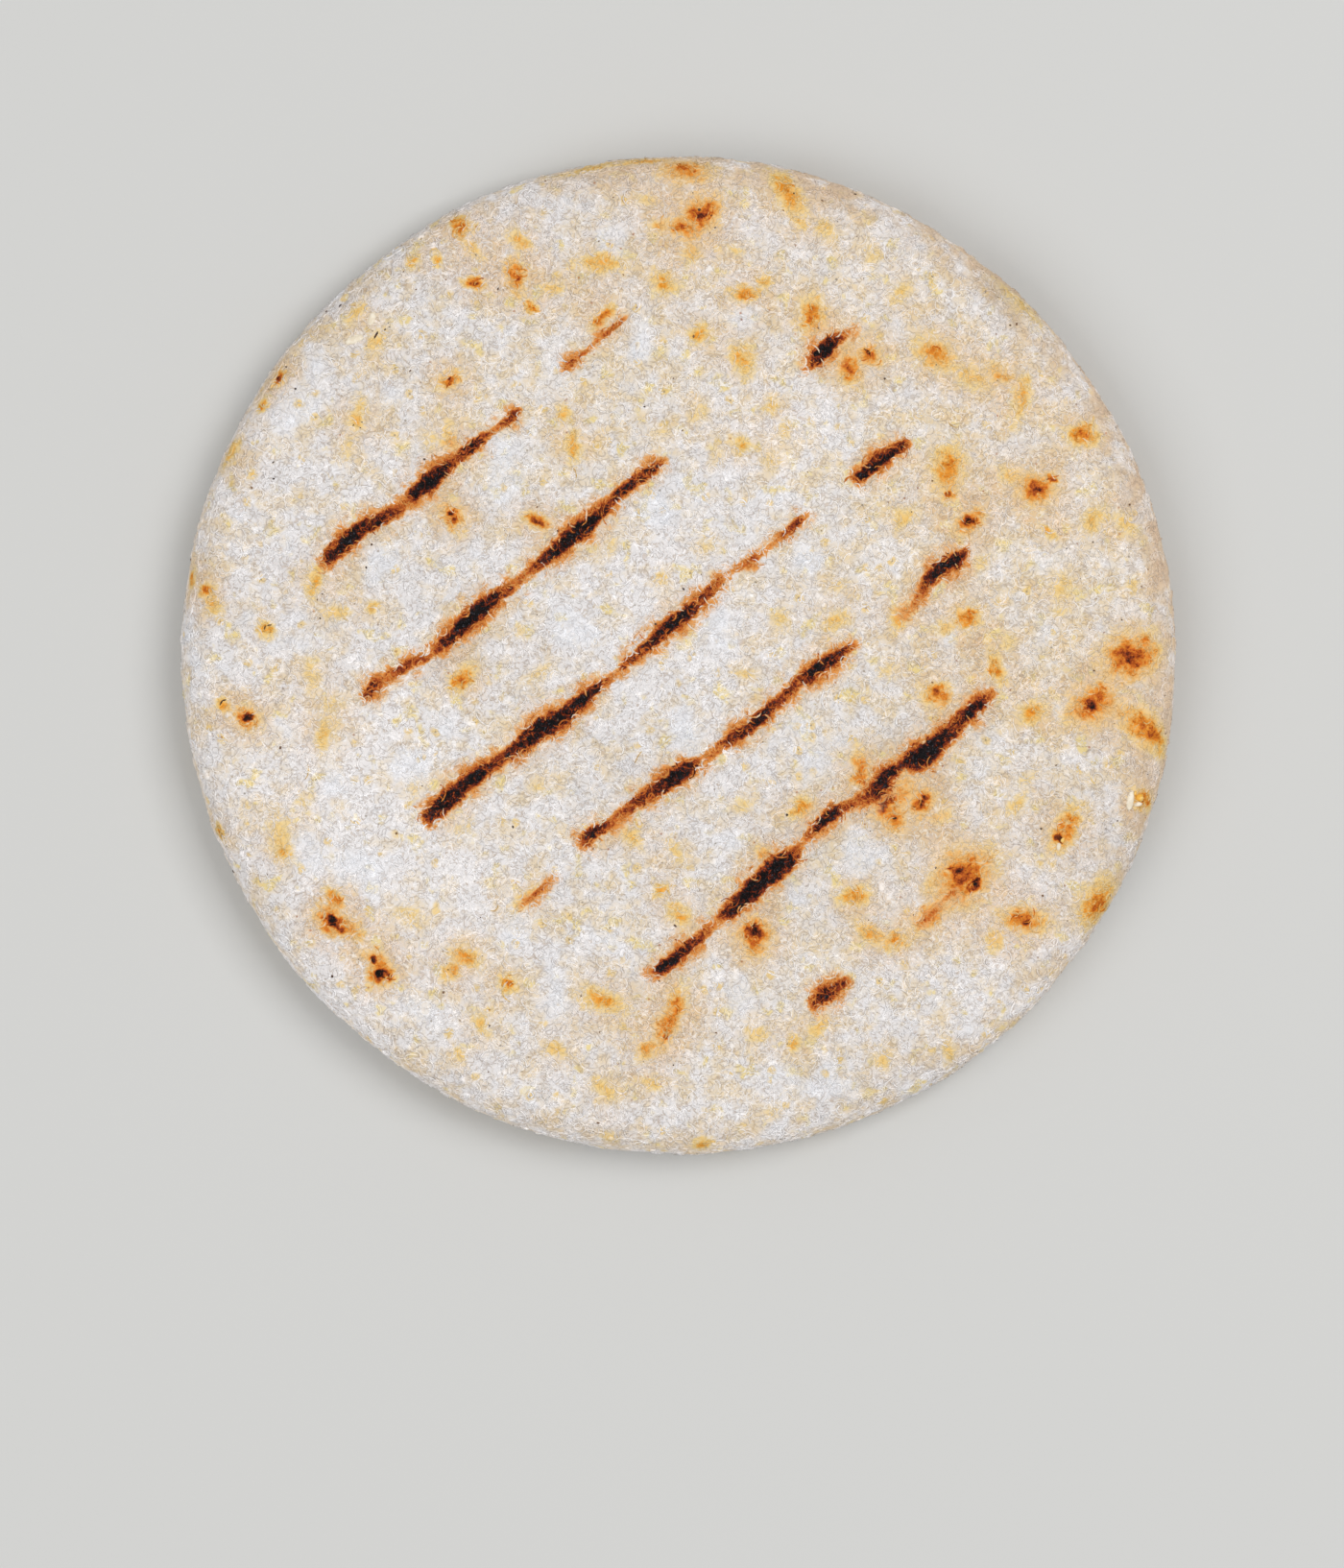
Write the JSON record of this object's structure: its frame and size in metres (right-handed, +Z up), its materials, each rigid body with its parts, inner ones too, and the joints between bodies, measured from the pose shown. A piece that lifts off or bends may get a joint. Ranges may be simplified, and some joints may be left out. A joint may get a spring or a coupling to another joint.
{
  "type": "hominy arepa",
  "caption": "Flat round cake of ground hominy corn with a rounded edge, toasted on a grill whose bars left slanting charred stripes and shallow grooves on both faces.",
  "frame": {"origin": "middle of the cake's box, on the surface that its underside lies on", "axes": "+Z up through the thickness, away from the underside; +Y towards the far rim as the picture shows it, where up in the picture is +Y and right is +X"},
  "size_m": [0.12, 0.1204, 0.0108],
  "materials": {
    "hominy_crust": "matte"
  },
  "bodies": {
    "root": {"arepa": "hominy_crust"}
  },
  "joints": []
}
